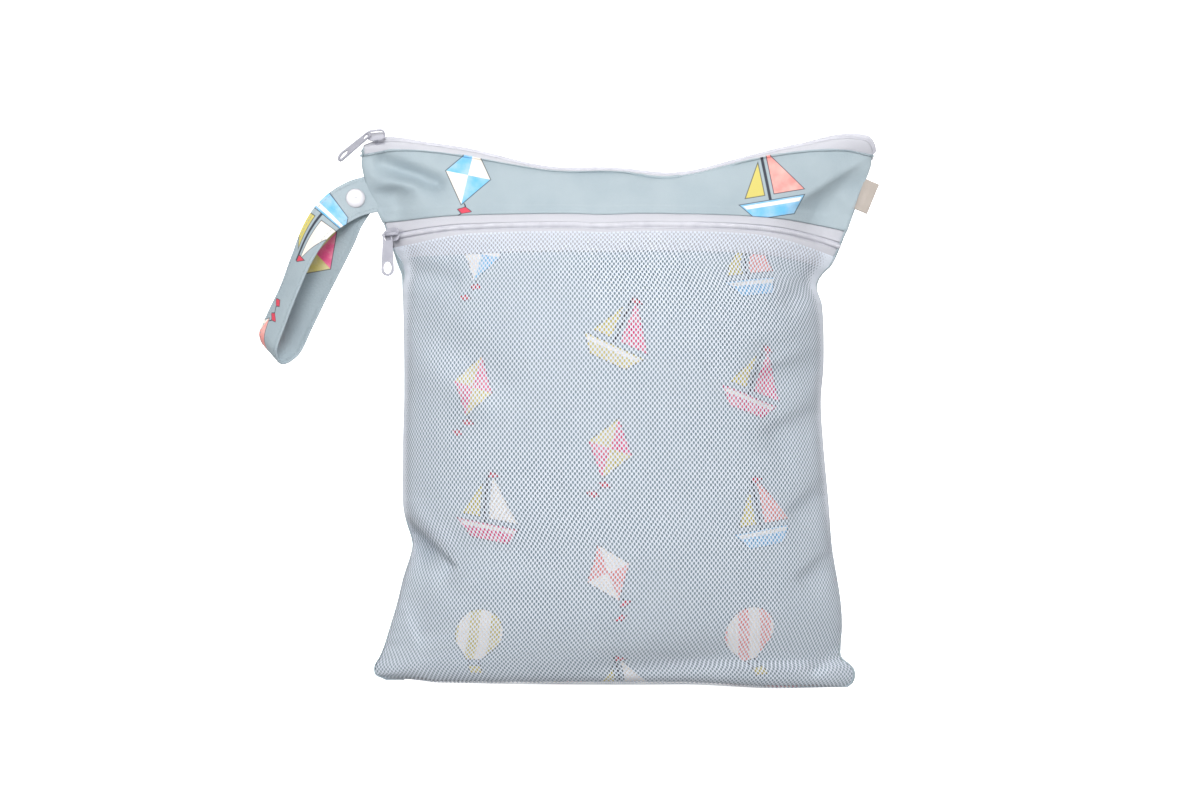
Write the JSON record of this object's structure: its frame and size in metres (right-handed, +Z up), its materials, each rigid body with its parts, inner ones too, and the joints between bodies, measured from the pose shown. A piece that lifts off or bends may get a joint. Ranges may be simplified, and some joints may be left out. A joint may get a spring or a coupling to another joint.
{
  "type": "dual-compartment bag",
  "caption": "Stuffed zipped bag with a printed cloth main compartment, a zipped net pocket across the front, a carrying strap closed by a snap and a bare side label.",
  "frame": {"origin": "on the flat bottom of the back panel, 10 mm behind the bottom seam and midway between the side seams", "axes": "+Z up, -Y towards the net pocket at the front, -X towards the strap"},
  "size_m": [0.3983, 0.131, 0.3568],
  "materials": {
    "print_cloth": "pale blue coated polyester, plain weave with small printed motifs, soft sheen",
    "net": "white warp-knit polyester net with small oval holes in a staggered lattice",
    "zip_tape": "white woven polyester zip tape, matt",
    "zip_coil": "white nylon coil, satin",
    "zip_metal": "white baked enamel on die-cast zinc, satin",
    "snap_plastic": "white moulded plastic, glossy",
    "label_ribbon": "cream woven ribbon, bare, matt"
  },
  "bodies": {
    "bag": {"back_panel": "print_cloth", "inner_panel": "print_cloth", "upper_strip": "print_cloth", "strap": "print_cloth", "mesh_pocket": "net", "pocket_tape_lower": "zip_tape", "pocket_tape_upper": "zip_tape", "top_tape_front": "zip_tape", "top_tape_back": "zip_tape", "pocket_coil": "zip_coil", "top_coil": "zip_coil", "pocket_slider": "zip_metal", "top_slider": "zip_metal", "snap_cap": "snap_plastic", "snap_core": "snap_plastic", "snap_back_cap": "snap_plastic", "side_label": "label_ribbon"},
    "top_pull": {"top_pull": "zip_metal"},
    "pocket_pull": {"pocket_pull": "zip_metal"}
  },
  "joints": [
    {"name": "top_pull_flip", "type": "hinge", "parent": "bag", "child": "top_pull", "pos_m": [-0.15609, -0.01796, 0.35384], "axis": [-0.0572, 0.7893, 0.6113], "range_deg": [0, 180]},
    {"name": "pocket_pull_swing", "type": "hinge", "parent": "bag", "child": "pocket_pull", "pos_m": [-0.14475, -0.02116, 0.28911], "axis": [-0.2079, 0.9781, 0], "range_deg": [-10, 95]}
  ]
}
